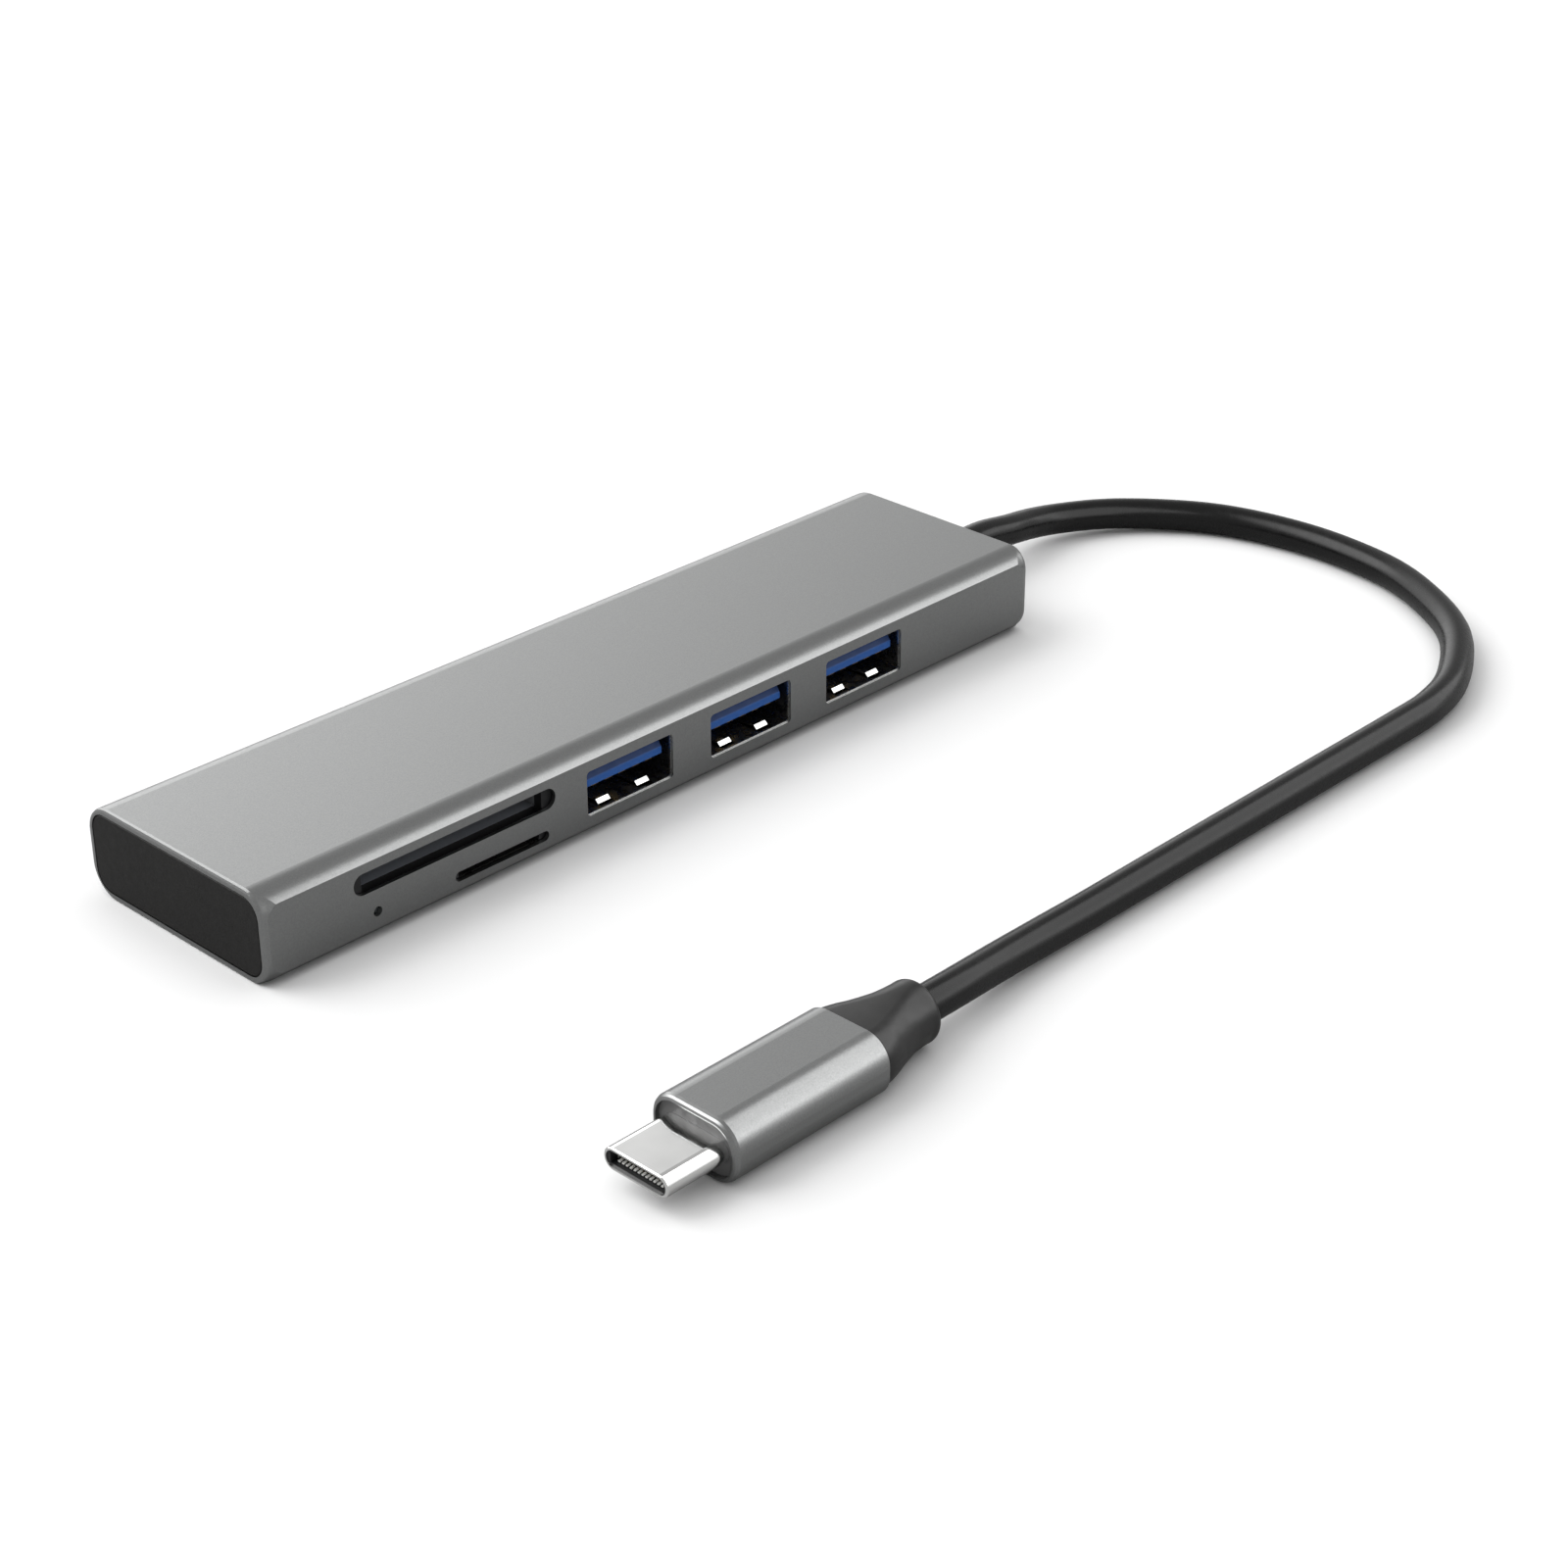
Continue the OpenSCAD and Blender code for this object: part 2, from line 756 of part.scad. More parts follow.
module usb_c_lower_contacts() {
    translate([0, 0, 2 * plug_z])
        mirror([0, 0, 1])
            usb_c_contact_row();
}

// side spring that grips a receptacle, drawn for the +Y side of the mouth
module usb_c_latch() {
    color(STEEL)
        at_plug()
            translate([0, 0, -0.3])
                linear_extrude(0.6)
                    ribbon([[-1.3, 3.28], [-4.4, 3.18], [-5.4, 3.02], [-6.3, 3.12]], 0.14);
}

module usb_c_left_latch() {
    usb_c_latch();
}

module usb_c_right_latch() {
    translate([0, 2 * plug_y, 0])
        mirror([0, 1, 0])
            usb_c_latch();
}

// ---- parts ----

sleeve();
end_cap();
cable_cap();
cable_grommet();
main_board();
at_port(1) usb_a_shell();  // usb_a_shell_1
at_port(2) usb_a_shell();  // usb_a_shell_2
at_port(3) usb_a_shell();  // usb_a_shell_3
at_port(1) usb_a_tongue();  // usb_a_tongue_1
at_port(2) usb_a_tongue();  // usb_a_tongue_2
at_port(3) usb_a_tongue();  // usb_a_tongue_3
at_port(1) usb_a_terminals();  // usb_a_terminals_1
at_port(2) usb_a_terminals();  // usb_a_terminals_2
at_port(3) usb_a_terminals();  // usb_a_terminals_3
at_port(1) usb_a_contacts();  // usb_a_contacts_1
at_port(2) usb_a_contacts();  // usb_a_contacts_2
at_port(3) usb_a_contacts();  // usb_a_contacts_3
at_port(1) usb_a_latch();  // usb_a_lower_latch_1
at_port(2) usb_a_latch();  // usb_a_lower_latch_2
at_port(3) usb_a_latch();  // usb_a_lower_latch_3
at_port(1) mirror([0, 0, 1]) usb_a_latch();  // usb_a_upper_latch_1
at_port(2) mirror([0, 0, 1]) usb_a_latch();  // usb_a_upper_latch_2
at_port(3) mirror([0, 0, 1]) usb_a_latch();  // usb_a_upper_latch_3
sd_housing();
sd_cover();
sd_contacts();
sd_terminals();
sd_detect_lever();
sd_protect_lever();
microsd_housing();
microsd_cover();
microsd_contacts();
microsd_terminals();
hub_chip();
reader_chip();
crystal();
inductor();
bulk_capacitors();
ceramic_capacitors();
resistors();
status_led();
light_pipe();
cable_wires();
solder_pads();
cable();
plug_boot();
plug_sleeve();
plug_insert();
plug_board();
usb_c_shell();
usb_c_insulator();
usb_c_upper_contacts();
usb_c_lower_contacts();
usb_c_left_latch();
usb_c_right_latch();
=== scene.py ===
"""Looks for the USB hub: camera, cable, moulded boot, node materials, floor and studio light.

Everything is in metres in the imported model's own frame: +X towards the cable exit, ports facing -Y, +Z up.
"""

import math

import bpy
from mathutils import Matrix, Vector


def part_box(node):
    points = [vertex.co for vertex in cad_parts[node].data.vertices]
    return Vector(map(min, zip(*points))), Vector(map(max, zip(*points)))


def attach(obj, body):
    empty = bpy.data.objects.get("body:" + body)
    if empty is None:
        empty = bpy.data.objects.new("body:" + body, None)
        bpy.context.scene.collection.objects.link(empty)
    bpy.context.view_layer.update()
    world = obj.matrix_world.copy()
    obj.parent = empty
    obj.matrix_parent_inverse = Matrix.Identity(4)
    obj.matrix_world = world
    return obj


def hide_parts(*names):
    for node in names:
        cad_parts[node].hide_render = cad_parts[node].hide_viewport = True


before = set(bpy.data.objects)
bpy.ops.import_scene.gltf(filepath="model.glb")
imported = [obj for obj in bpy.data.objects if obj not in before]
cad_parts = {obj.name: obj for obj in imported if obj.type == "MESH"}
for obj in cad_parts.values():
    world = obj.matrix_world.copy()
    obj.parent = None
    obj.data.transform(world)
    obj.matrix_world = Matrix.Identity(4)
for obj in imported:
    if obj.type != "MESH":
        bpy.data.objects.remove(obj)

MM = 0.001
scene = bpy.context.scene
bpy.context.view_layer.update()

# ---- camera, at the photograph's angle ----

AZIMUTH, ELEVATION, ROLL = (math.radians(a) for a in (-45.86, 28.16, -0.21))
CAMERA_AT = Vector((-206.9, -230.3, 160.8)) * MM
LENS, SENSOR = 70.25, 36
NEAREST, FARTHEST = 0.01, 100


def add_camera():
    data = bpy.data.cameras.new("camera")
    data.lens, data.sensor_width = LENS, SENSOR
    data.clip_start, data.clip_end = NEAREST, FARTHEST
    camera = bpy.data.objects.new("camera", data)
    turn = (
        Matrix.Rotation(AZIMUTH, 4, "Z")
        @ Matrix.Rotation(math.pi / 2 - ELEVATION, 4, "X")
        @ Matrix.Rotation(ROLL, 4, "Z")
    )
    camera.matrix_world = Matrix.Translation(CAMERA_AT) @ turn
    scene.collection.objects.link(camera)
    scene.camera = camera


# ---- cable ----

CABLE_D = 4 * MM
CABLE_SMOOTHNESS = 10

# the cable's route in millimetres; REST is the height of its middle where it lies on the floor
REST = 2.05
ROUTE = [
    (67, 0.25, 5.2), (72, 0.35, 4.45), (76.9, 0.85, 3.62), (81.7, 0.55, 2.9), (87.25, -1.7, 2.5),
    (91.45, -4.75, 2.25), (95.5, -9.35, 2.1), (98.25, -14.15, REST), (99.95, -20, REST),
    (100.8, -27, REST), (100.4, -34, REST), (99, -40.6, REST), (96, -47, REST),
    (91.4, -53.6, REST), (86, -58.3, REST), (78, -62.65, REST), (71, -64.4, REST),
    (64, -64.7, REST), (50, -64.8, REST), (35, -64.9, REST), (20, -65, REST),
    (8, -65.1, REST), (0, -65.2, 2.2), (-7, -65.6, 2.6), (-14, -66.3, 3.2),
]  # fmt: skip


def middle(low, high):
    return (low + high) / 2


def cable_points():
    """The route from the grommet's end to the middle of the boot's rear face."""
    grommet_low, grommet_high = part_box("cable_grommet")
    boot_low, boot_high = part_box("plug_boot")
    start = middle(grommet_low, grommet_high)
    start.x = grommet_high.x
    end = middle(boot_low, boot_high)
    end.x = boot_high.x
    end.z = middle(*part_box("plug_sleeve")).z
    return [start] + [Vector(p) * MM for p in ROUTE] + [end]


def add_cable():
    """A Bezier tube through the route, level where it enters the grommet and the boot."""
    points = cable_points()
    curve = bpy.data.curves.new("cable_skin", "CURVE")
    curve.dimensions = "3D"
    curve.bevel_depth = CABLE_D / 2
    curve.bevel_resolution = curve.resolution_u = CABLE_SMOOTHNESS
    curve.use_fill_caps = True
    spline = curve.splines.new("BEZIER")
    last = len(points) - 1
    spline.bezier_points.add(last)
    for i, (knot, point) in enumerate(zip(spline.bezier_points, points)):
        reach = (points[min(i + 1, last)] - points[max(i - 1, 0)]) / 6
        if i in (0, last):
            reach = Vector((math.copysign(reach.length * 2, reach.x), 0, 0))
        knot.handle_left_type = knot.handle_right_type = "FREE"
        knot.co = point
        knot.handle_left = point - reach
        knot.handle_right = point + reach
    cable = bpy.data.objects.new("cable_skin", curve)
    scene.collection.objects.link(cable)
    return cable


# ---- moulded boot behind the plug's sleeve ----

# distance from the sleeve, width, height and corner radius, in millimetres
BOOT_STATIONS = [
    (0, 10.5, 6.4, 2.9), (0.9, 10.4, 6.3, 2.95), (2.1, 9.85, 6.2, 3), (3.3, 9, 6.1, 3),
    (4.7, 8.1, 6.1, 3), (6.1, 7.3, 6.2, 3.05), (7.4, 6.9, 6.45, 3.2), (8.3, 6.7, 6.65, 3.3),
    (9.1, 6.7, 6.7, 3.33), (9.5, 6.4, 6.4, 3.18), (9.7, 5.9, 5.9, 2.93),
]  # fmt: skip
BOOT_STEPS = 4
BOOT_SIDES = 64


def catmull(before, start, end, after, t):
    """The Catmull-Rom blend between start and end, number by number."""
    return tuple(
        0.5 * (2 * b + (c - a) * t + (2 * a - 5 * b + 4 * c - d) * t * t + (3 * b - a - 3 * c + d) * t**3)
        for a, b, c, d in zip(before, start, end, after)
    )


def refined(stations, steps):
    """The stations with steps - 1 more blended in between each two."""
    last = len(stations) - 1
    made = []
    for i in range(last):
        four = [stations[min(max(i + k, 0), last)] for k in (-1, 0, 1, 2)]
        made += [catmull(*four, step / steps) for step in range(steps)]
    return made + [stations[last]]


def section_point(station, angle):
    """A point of the rounded section, in one of its four corner arcs."""
    along, width, height, radius = station
    y = math.copysign(max(width / 2 - radius, 0), math.cos(angle)) + radius * math.cos(angle)
    z = math.copysign(max(height / 2 - radius, 0), math.sin(angle)) + radius * math.sin(angle)
    return Vector((along, y, z)) * MM


def loft(name, rings, sides):
    """A closed mesh over rings of equal length, with flat ends."""
    vertices = [point for ring in rings for point in ring]
    faces = []
    for i in range(len(rings) - 1):
        here, there = i * sides, (i + 1) * sides
        for k in range(sides):
            following = (k + 1) % sides
            faces.append((here + k, there + k, there + following, here + following))
    faces.append(tuple(range(sides)))
    faces.append(tuple((len(rings) - 1) * sides + k for k in reversed(range(sides))))
    mesh = bpy.data.meshes.new(name)
    mesh.from_pydata(vertices, [], faces)
    mesh.validate()
    mesh.shade_smooth()
    for face in mesh.polygons[-2:]:
        face.use_smooth = False
    piece = bpy.data.objects.new(name, mesh)
    scene.collection.objects.link(piece)
    return piece


def add_boot():
    low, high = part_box("plug_boot")
    root = Vector((low.x, middle(low, high).y, middle(*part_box("plug_sleeve")).z))
    half_step = math.pi / BOOT_SIDES
    rings = [
        [
            root + section_point(station, half_step - 2 * math.pi * k / BOOT_SIDES)
            for k in range(BOOT_SIDES)
        ]
        for station in refined(BOOT_STATIONS, BOOT_STEPS)
    ]
    return loft("boot_moulding", rings, BOOT_SIDES)


# ---- materials ----

# the part of a noise texture's 0 to 1 that most of its values fall in
NOISE_LOW, NOISE_HIGH = 0.3, 0.7


class Finish:
    """A node material on one Principled shader. Texture sizes are in metres on the object."""

    def __init__(self, name, metallic=0.0, specular=0.5, **sockets):
        self.material = bpy.data.materials.new(name)
        self.material.use_nodes = True
        tree = self.material.node_tree
        self.nodes, self.links = tree.nodes, tree.links
        self.nodes.clear()
        output = self.nodes.new("ShaderNodeOutputMaterial")
        self.shader = self.nodes.new("ShaderNodeBsdfPrincipled")
        self.links.new(self.shader.outputs["BSDF"], output.inputs["Surface"])
        self.shader.inputs["Metallic"].default_value = metallic
        self.shader.inputs["Specular IOR Level"].default_value = specular
        for socket, value in sockets.items():
            self.shader.inputs[socket.replace("_", " ").title()].default_value = value
        self.place = self.nodes.new("ShaderNodeTexCoord").outputs["Object"]

    def stretched(self, scale):
        """Object coordinates scaled along each axis, for textures with a direction."""
        mapping = self.nodes.new("ShaderNodeMapping")
        mapping.inputs["Scale"].default_value = scale
        self.links.new(self.place, mapping.inputs["Vector"])
        return mapping.outputs["Vector"]

    def noise(self, size, detail=2.0, vector=None, roughness=0.5):
        node = self.nodes.new("ShaderNodeTexNoise")
        node.inputs["Scale"].default_value = 1 / size
        node.inputs["Detail"].default_value = detail
        node.inputs["Roughness"].default_value = roughness
        self.links.new(vector or self.place, node.inputs["Vector"])
        return node.outputs["Fac"]

    def ranged(self, source, low, high, start=NOISE_LOW, end=NOISE_HIGH):
        """low where source is at start or below, high where it is at end or above."""
        node = self.nodes.new("ShaderNodeMapRange")
        node.inputs["From Min"].default_value = start
        node.inputs["From Max"].default_value = end
        node.inputs["To Min"].default_value = low
        node.inputs["To Max"].default_value = high
        self.links.new(source, node.inputs["Value"])
        return node.outputs["Result"]

    def mixed(self, factor, first, second):
        """first where factor is 0, second where it is 1. Each is a colour or another output."""
        node = self.nodes.new("ShaderNodeMix")
        node.data_type = "RGBA"
        self.links.new(factor, node.inputs["Factor"])
        for socket, value in ((node.inputs["A"], first), (node.inputs["B"], second)):
            if isinstance(value, tuple):
                socket.default_value = (*value, 1)
            else:
                self.links.new(value, socket)
        return node.outputs["Result"]

    def along(self, axis, start, end):
        """0 before start, 1 after end, measured along X, Y or Z."""
        split = self.nodes.new("ShaderNodeSeparateXYZ")
        self.links.new(self.place, split.inputs["Vector"])
        return self.ranged(split.outputs[axis], 0, 1, start, end)

    def colour(self, value, vary=0.06, size=4 * MM):
        """Base colour, drifting a little lighter and darker over patches of that size."""
        if isinstance(value, tuple):
            dark = tuple(c * (1 - vary) for c in value)
            light = tuple(c * (1 + vary) for c in value)
            value = self.mixed(self.ranged(self.noise(size), 0, 1), dark, light)
        self.links.new(value, self.shader.inputs["Base Color"])

    def rough(self, low, high, size=1 * MM):
        """Roughness, uneven over patches of that size."""
        self.links.new(self.ranged(self.noise(size), low, high), self.shader.inputs["Roughness"])

    def bump(self, height, depth):
        node = self.nodes.new("ShaderNodeBump")
        node.inputs["Distance"].default_value = depth
        self.links.new(height, node.inputs["Height"])
        self.links.new(node.outputs["Normal"], self.shader.inputs["Normal"])

    def speckled(self, colour, low, high, grain, depth, vary=0.06):
        """The common finish: drifting colour, uneven roughness and a fine raised grain."""
        self.colour(colour, vary)
        self.rough(low, high)
        self.bump(self.noise(grain, detail=3), depth)
        return self.material


# colours that change within one material
ALUMINIUM_DARK, ALUMINIUM_LIGHT = (0.278, 0.282, 0.281), (0.332, 0.336, 0.335)
SOCKET_FLOOR = (0.3, 0.32, 0.36)
SOCKET_GUIDE = (0.2, 0.21, 0.22)
# painted shade: the card socket's black front faces
SOCKET_FRONT_PAINTED_SHADE = (0.012, 0.012, 0.013)
# painted highlight on the shell's rim, and painted shade further in
SHELL_RIM_PAINTED_HIGHLIGHT, SHELL_INSIDE_PAINTED_SHADE = (0.95, 0.95, 0.93), (0.3, 0.3, 0.3)
# painted shade: the tongue's deeper blue slope
TONGUE_FACE, TONGUE_SLOPE_PAINTED_SHADE = (0.02, 0.095, 0.34), (0.008, 0.036, 0.14)
# painted highlight: the contacts' pale tips
TIP_PAINTED_HIGHLIGHT, TIP_GOLD = (1, 1, 0.97), (0.2, 0.14, 0.06)
WIRE_RED, WIRE_WHITE = (0.5, 0.04, 0.03), (0.75, 0.75, 0.72)
LACQUER = ((0.012, 0.085, 0.045), (0.011, 0.076, 0.041))
TRACK_EDGE = (0.015, 0.099, 0.052)

# where a colour starts to change and where it has changed, as distances from one end of the piece
SOCKET_FRONT_DEPTH = (1.1 * MM, 1.15 * MM)
SOCKET_GUIDE_WIDTH = (1.65 * MM, 1.6 * MM)
SHELL_RIM_DEPTH = (0.1 * MM, 0.3 * MM)
TONGUE_FACE_DEPTH = (0.02 * MM, 0.1 * MM)
TIP_LENGTH = (0.4 * MM, 0.5 * MM)

# half the width, about the hub's middle, over which the wires' colour changes
WIRE_CHANGE = 1.2 * MM

# the brick texture that stands for the board's tracks: its scale and the width of its joints
TRACK_SCALE, TRACK_GAP = 260, 0.03

# directions of rolling, as the scale of the noise along X, Y and Z: its lines run where the scale is small
ALONG_X, ALONG_Y, NO_GRAIN = (0.1, 1, 1), (1, 0.1, 1), (1, 1, 1)


def anodised():
    """Fine bead-blasted aluminium."""
    finish = Finish("aluminium_finish", metallic=1)
    grain = finish.noise(0.16 * MM, detail=3, roughness=0.6)
    finish.colour(finish.mixed(finish.ranged(grain, 0, 1), ALUMINIUM_DARK, ALUMINIUM_LIGHT))
    finish.rough(0.29, 0.35, size=0.4 * MM)
    finish.bump(grain, depth=0.0035 * MM)
    return finish.material


def drawn_metal(name, colour, low, high, depth, scale=ALONG_Y):
    """Sheet metal with fine lines from rolling. low and high are its roughness."""
    finish = Finish(name, metallic=1)
    lines = finish.noise(1 * MM, detail=4, vector=finish.stretched(scale))
    finish.colour(colour, vary=0.05)
    finish.links.new(finish.ranged(lines, low, high), finish.shader.inputs["Roughness"])
    finish.bump(lines, depth)
    return finish.material


def solder_mask():
    """Green board lacquer over faint copper tracks."""
    finish = Finish("board_finish", coat_weight=0.4)
    tracks = finish.nodes.new("ShaderNodeTexBrick")
    tracks.inputs["Scale"].default_value = TRACK_SCALE
    tracks.inputs["Mortar Size"].default_value = TRACK_GAP
    for socket, colour in zip(("Color1", "Color2", "Mortar"), (*LACQUER, TRACK_EDGE)):
        tracks.inputs[socket].default_value = (*colour, 1)
    finish.links.new(finish.place, tracks.inputs["Vector"])
    finish.colour(tracks.outputs["Color"])
    finish.rough(0.25, 0.4)
    finish.bump(tracks.outputs["Fac"], depth=0.006 * MM)
    return finish.material


def cable_sheath():
    finish = Finish("cable_finish", specular=0.32)
    return finish.speckled((0.003, 0.003, 0.003), 0.22, 0.3, grain=0.25 * MM, depth=0.004 * MM)


def socket_shell():
    """Blue-grey moulding of the card socket: painted shade, black, over its front faces, and a greyer guide
    at the slot's far end.
    """
    finish = Finish("socket_finish", specular=0.3)
    low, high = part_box("sd_housing")
    painted_light_inside = finish.along("Y", *(low.y + depth for depth in SOCKET_FRONT_DEPTH))
    guide = finish.along("X", *(high.x - width for width in SOCKET_GUIDE_WIDTH))
    finish.colour(finish.mixed(painted_light_inside, SOCKET_FRONT_PAINTED_SHADE, finish.mixed(guide, SOCKET_FLOOR, SOCKET_GUIDE)))
    finish.rough(0.45, 0.55)
    finish.bump(finish.noise(0.2 * MM, detail=3), depth=0.004 * MM)
    return finish.material


def port_shell():
    """Receptacle shell: a painted highlight at its rim, and painted shade further in."""
    finish = Finish("shell_finish", metallic=1)
    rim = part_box("usb_a_shell_1")[0].y
    painted_light_inside = finish.along("Y", *(rim + depth for depth in SHELL_RIM_DEPTH))
    finish.colour(finish.mixed(painted_light_inside, SHELL_RIM_PAINTED_HIGHLIGHT, SHELL_INSIDE_PAINTED_SHADE))
    finish.rough(0.22, 0.34)
    finish.bump(finish.noise(1 * MM, detail=4, vector=finish.stretched(ALONG_Y)), depth=0.002 * MM)
    return finish.material


def tongue_blue():
    """Receptacle tongue: plain blue at its nose, and a deeper blue on the slope past it, which is painted
    shade.
    """
    finish = Finish("blue_finish", specular=0.2)
    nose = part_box("usb_a_tongue_1")[0].y
    painted_light_behind = finish.along("Y", *(nose + depth for depth in TONGUE_FACE_DEPTH))
    finish.colour(finish.mixed(painted_light_behind, TONGUE_FACE, TONGUE_SLOPE_PAINTED_SHADE))
    finish.rough(0.4, 0.5)
    finish.bump(finish.noise(0.2 * MM, detail=3), depth=0.006 * MM)
    return finish.material


def contact_tips():
    """Plug contacts: pale at the tip, which is a painted highlight, and gold further back."""
    finish = Finish("tip_finish", metallic=0.4)
    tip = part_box("usb_c_upper_contacts")[0].x
    painted_light_behind = finish.along("X", *(tip + length for length in TIP_LENGTH))
    finish.colour(finish.mixed(painted_light_behind, TIP_PAINTED_HIGHLIGHT, TIP_GOLD))
    finish.rough(0.35, 0.45)
    finish.bump(finish.noise(0.2 * MM), depth=0.001 * MM)
    return finish.material


def chip_capacitor():
    finish = Finish("capacitor_finish")
    return finish.speckled((0.36, 0.25, 0.15), 0.35, 0.55, grain=0.2 * MM, depth=0.005 * MM, vary=0.15)


def wire_insulation():
    """Thin insulation whose colour changes from wire to wire across the board."""
    finish = Finish("wire_finish")
    side = finish.along("Y", -WIRE_CHANGE, WIRE_CHANGE)
    finish.colour(finish.mixed(side, WIRE_RED, WIRE_WHITE))
    finish.rough(0.35, 0.5)
    finish.bump(finish.noise(0.3 * MM), depth=0.004 * MM)
    return finish.material


def clear_guide():
    finish = Finish("clear_finish", transmission_weight=0.85)
    return finish.speckled((0.75, 0.8, 0.82), 0.15, 0.25, grain=0.3 * MM, depth=0.002 * MM)


def lamp_body():
    finish = Finish("led_finish", subsurface_weight=0.2)
    return finish.speckled((0.85, 0.83, 0.72), 0.25, 0.4, grain=0.3 * MM, depth=0.003 * MM)


def plastic(name, colour, low, high, grain=0.2 * MM, depth=0.006 * MM, specular=0.5):
    """Moulded plastic with a fine grain. low and high are its roughness."""
    return Finish(name, specular=specular).speckled(colour, low, high, grain, depth)


# by material slot, and by the names that OWN_FINISHES gives
FINISHES = {
    "aluminium": anodised(),
    "cap_plastic": plastic(
        "cap_finish", (0.0085, 0.0081, 0.0077), 0.5, 0.62, grain=0.22 * MM, depth=0.012 * MM, specular=0.25
    ),
    "cable_skin": cable_sheath(),
    "boot_plastic": plastic("boot_finish", (0.007, 0.0068, 0.0066), 0.3, 0.38),
    "board": solder_mask(),
    "steel": drawn_metal("steel_finish", (0.4, 0.4, 0.39), 0.22, 0.34, depth=0.002 * MM),
    "shell": port_shell(),
    "nickel": drawn_metal("nickel_finish", (0.88, 0.88, 0.87), 0.08, 0.14, depth=0.0006 * MM, scale=ALONG_X),
    "blue_plastic": tongue_blue(),
    "socket_plastic": socket_shell(),
    "black_plastic": plastic("black_finish", (0.012, 0.012, 0.013), 0.38, 0.5),
    "contacts": drawn_metal(
        "contact_finish", (0.6, 0.42, 0.17), 0.18, 0.3, depth=0.001 * MM, scale=(1, 0.15, 1)
    ),
    "chip_black": plastic("chip_finish", (0.015, 0.015, 0.017), 0.5, 0.65, grain=0.1 * MM),
    "ferrite": plastic("ferrite_finish", (0.05, 0.048, 0.046), 0.55, 0.75, grain=0.15 * MM, depth=0.01 * MM),
    "capacitor": chip_capacitor(),
    "spring": drawn_metal("spring_finish", (0.85, 0.85, 0.83), 0.16, 0.26, depth=0.001 * MM),
    "insert": plastic("insert_finish", (0.1, 0.1, 0.1), 0.38, 0.5),
    "tips": contact_tips(),
    "led": lamp_body(),
    "clear_plastic": clear_guide(),
    "wire_skin": wire_insulation(),
    "solder": drawn_metal("solder_finish", (0.72, 0.72, 0.71), 0.2, 0.4, depth=0.01 * MM, scale=NO_GRAIN),
}

# pieces that differ from the rest of their material slot, by a part of their name
OWN_FINISHES = {
    "usb_a_shell": "shell",
    "latch": "spring",
    "plug_insert": "insert",
    "usb_c_upper_contacts": "tips",
    "usb_c_lower_contacts": "tips",
}


def paint_nodes():
    """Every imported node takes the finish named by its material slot, or by its own name in OWN_FINISHES."""
    for name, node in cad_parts.items():
        own = next((finish for part, finish in OWN_FINISHES.items() if part in name), None)
        for slot in node.material_slots:
            slot.material = FINISHES[own or slot.material.name]


def stand_in(piece, node, slot):
    """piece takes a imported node's place, its finish and its body."""
    piece.data.materials.append(FINISHES[slot])
    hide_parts(node)
    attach(piece, "hub")


# ---- floor and light ----

FLOOR_SIZE = 12.0
FLOOR_COLOUR, FLOOR_REFLECTED = (0.82, 0.82, 0.82), (0.35, 0.35, 0.35)
BACKDROP = 0.95

# direction, brightness, cosine where the light starts, cosine where it is full
SOFT_LIGHTS = [
    ((0.20, 0.95, 0.00), 1.65, 0.60, 0.95),
    ((0.63, -0.77, 0.05), 0.7, 0.80, 1.00),
    ((0.30, 0.85, 0.43), 0.5, 0.93, 1.00),
    ((-0.47, 0.61, 0.63), 4.6, 0.84, 0.97),
    ((-0.61, -0.63, -0.47), 0.35, 0.80, 0.95),
]
SKY, GROUND = 0.58, 0.37
HORIZON = (-0.15, 0.05)

# a low panel in front of the far half, which only glossy reflections show
PANEL_LOW, PANEL_HIGH = Vector((0, -420, 100)) * MM, Vector((420, -52, 100)) * MM
PANEL_BRIGHTNESS = 1.7

# a high lamp that only lights matt surfaces
FILL_LOW, FILL_HIGH = Vector((-1200, -1200, 1500)) * MM, Vector((1200, 1200, 1500)) * MM
FILL_BRIGHTNESS = 0.85


def add_floor():
    """A pale floor, which glossy reflections see darker."""
    mesh = bpy.data.meshes.new("floor")
    h = FLOOR_SIZE / 2
    mesh.from_pydata([(-h, -h, 0), (h, -h, 0), (h, h, 0), (-h, h, 0)], [], [(0, 1, 2, 3)])
    floor = bpy.data.objects.new("floor", mesh)
    finish = Finish("floor_finish", specular=0)
    reflected = finish.nodes.new("ShaderNodeLightPath").outputs["Is Glossy Ray"]
    finish.colour(finish.mixed(reflected, FLOOR_COLOUR, FLOOR_REFLECTED))
    finish.rough(0.75, 0.85, size=0.1)
    mesh.materials.append(finish.material)
    scene.collection.objects.link(floor)


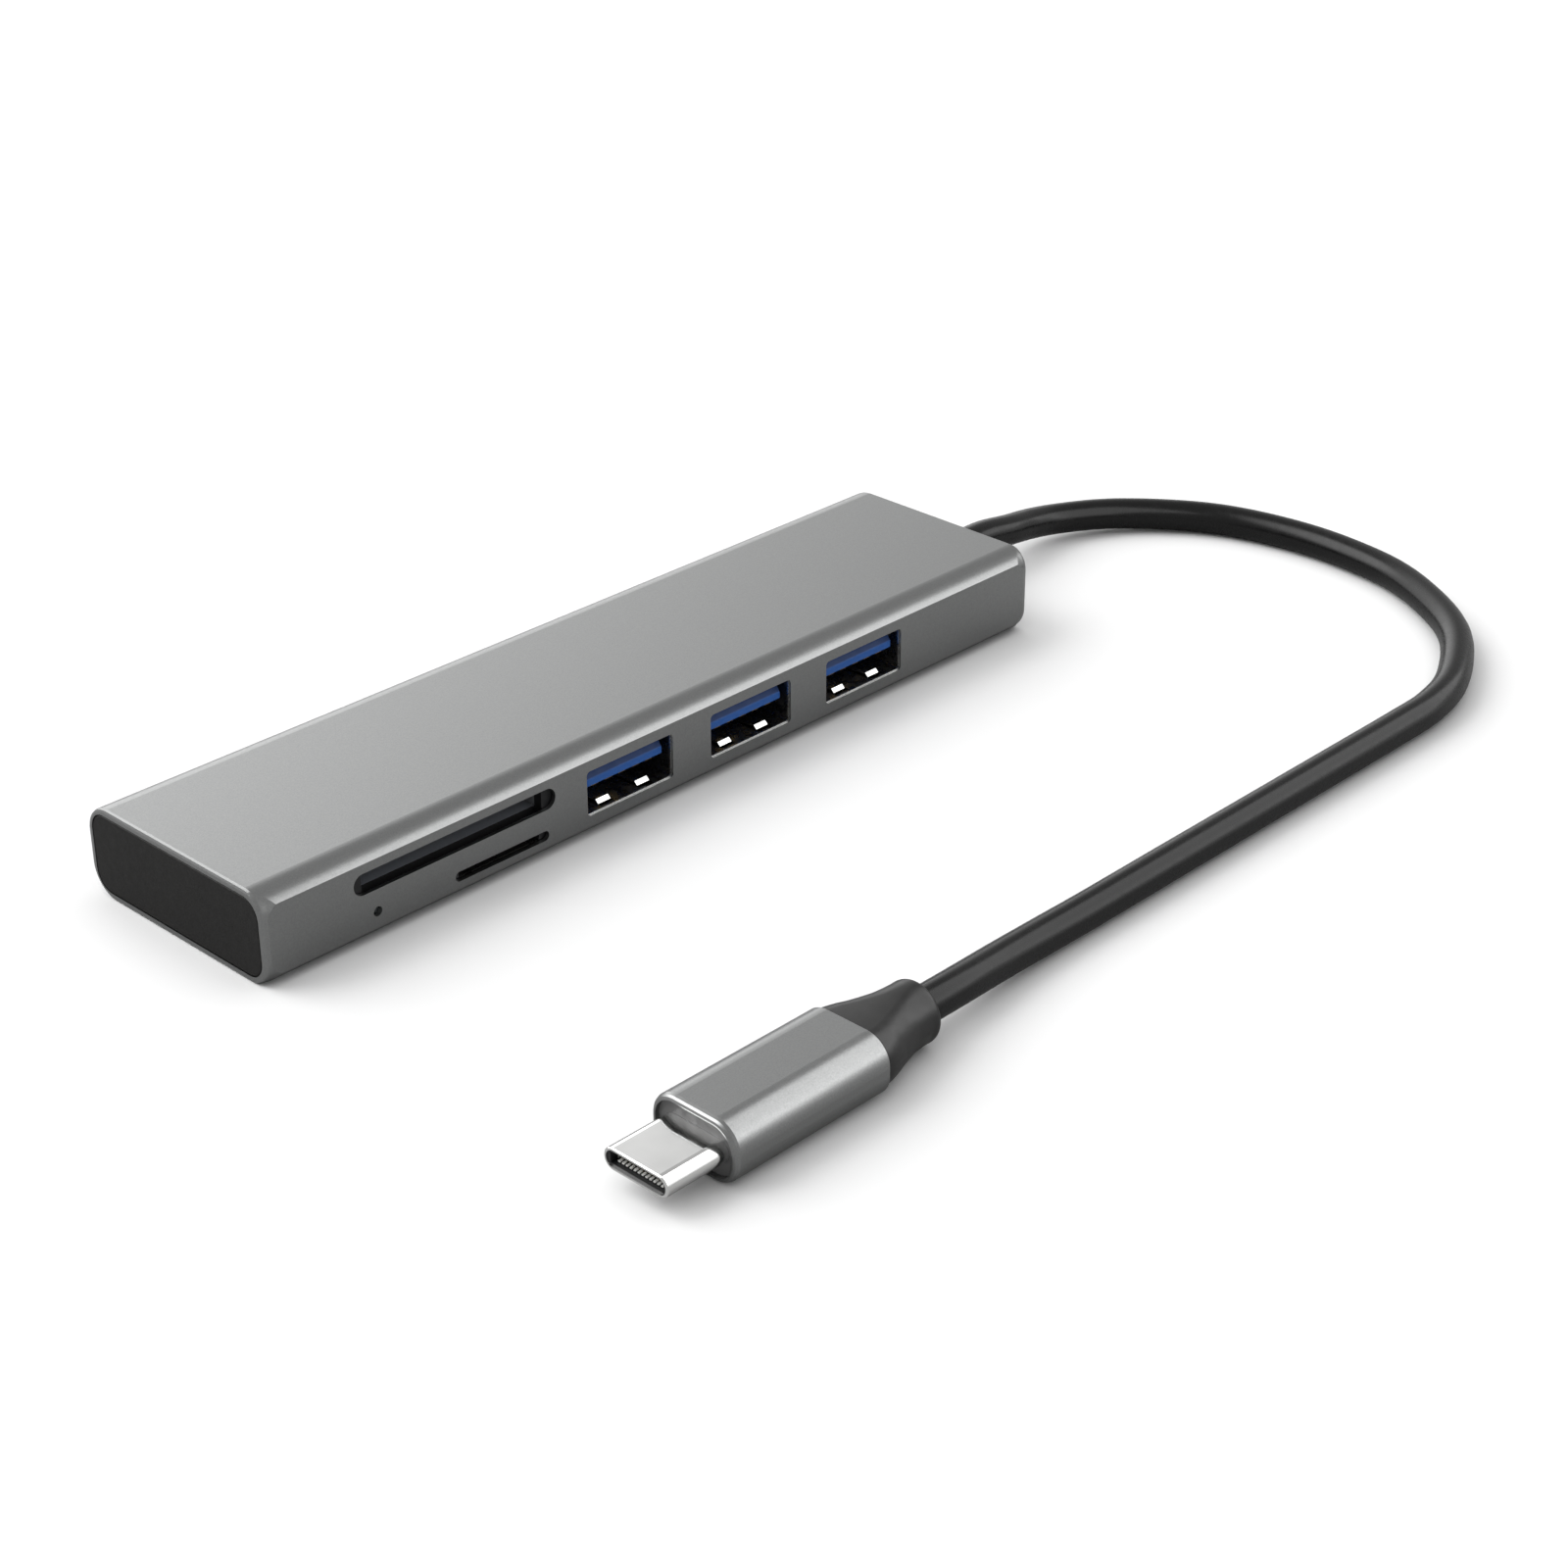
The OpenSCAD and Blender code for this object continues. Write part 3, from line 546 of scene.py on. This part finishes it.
def add_studio_light():
    """A dim sky with a few broad soft lights in it, all far away."""
    world = bpy.data.worlds.new("studio")
    world.use_nodes = True
    nodes, links = world.node_tree.nodes, world.node_tree.links
    nodes.clear()
    output = nodes.new("ShaderNodeOutputWorld")
    direction = nodes.new("ShaderNodeTexCoord").outputs["Generated"]

    def ramp(source, start, end, low, high):
        """Rises smoothly from low, where source is start, to high, where it is end."""
        node = nodes.new("ShaderNodeMapRange")
        node.interpolation_type = "SMOOTHSTEP"
        for socket, value in zip(node.inputs[1:5], (start, end, low, high)):
            socket.default_value = value
        links.new(source, node.inputs["Value"])
        return node.outputs["Result"]

    def facing(vector):
        """Cosine of the angle between the ray and vector."""
        node = nodes.new("ShaderNodeVectorMath")
        node.operation = "DOT_PRODUCT"
        links.new(direction, node.inputs[0])
        node.inputs[1].default_value = Vector(vector).normalized()
        return node.outputs["Value"]

    total = ramp(facing((0, 0, 1)), *HORIZON, GROUND, SKY)
    for vector, brightness, start, full in SOFT_LIGHTS:
        node = nodes.new("ShaderNodeMath")
        node.operation = "ADD"
        links.new(total, node.inputs[0])
        links.new(ramp(facing(vector), start, full, 0, brightness), node.inputs[1])
        total = node.outputs["Value"]
    light = nodes.new("ShaderNodeBackground")
    links.new(total, light.inputs["Strength"])
    backdrop = nodes.new("ShaderNodeBackground")
    backdrop.inputs["Strength"].default_value = BACKDROP
    seen = nodes.new("ShaderNodeLightPath").outputs["Is Camera Ray"]
    mix = nodes.new("ShaderNodeMixShader")
    links.new(seen, mix.inputs["Fac"])
    links.new(light.outputs["Background"], mix.inputs[1])
    links.new(backdrop.outputs["Background"], mix.inputs[2])
    links.new(mix.outputs["Shader"], output.inputs["Surface"])
    scene.world = world


def add_panel(name, low, high, brightness):
    """A rectangular light between two corners, facing down. brightness is its radiance."""
    size = high - low
    data = bpy.data.lights.new(name, "AREA")
    data.shape = "RECTANGLE"
    data.size, data.size_y = size.x, size.y
    data.energy = brightness * math.pi * size.x * size.y
    panel = bpy.data.objects.new(name, data)
    panel.location = middle(low, high)
    panel.visible_camera = False
    scene.collection.objects.link(panel)
    return panel


# ---- the scene ----


add_camera()
cable = add_cable()
boot = add_boot()
paint_nodes()
stand_in(cable, "cable", "cable_skin")
stand_in(boot, "plug_boot", "boot_plastic")
cable_points()[0]
add_floor()
add_studio_light()
add_panel("panel", PANEL_LOW, PANEL_HIGH, PANEL_BRIGHTNESS).visible_diffuse = False
add_panel("fill", FILL_LOW, FILL_HIGH, FILL_BRIGHTNESS).visible_glossy = False
scene.view_settings.view_transform = "Standard"
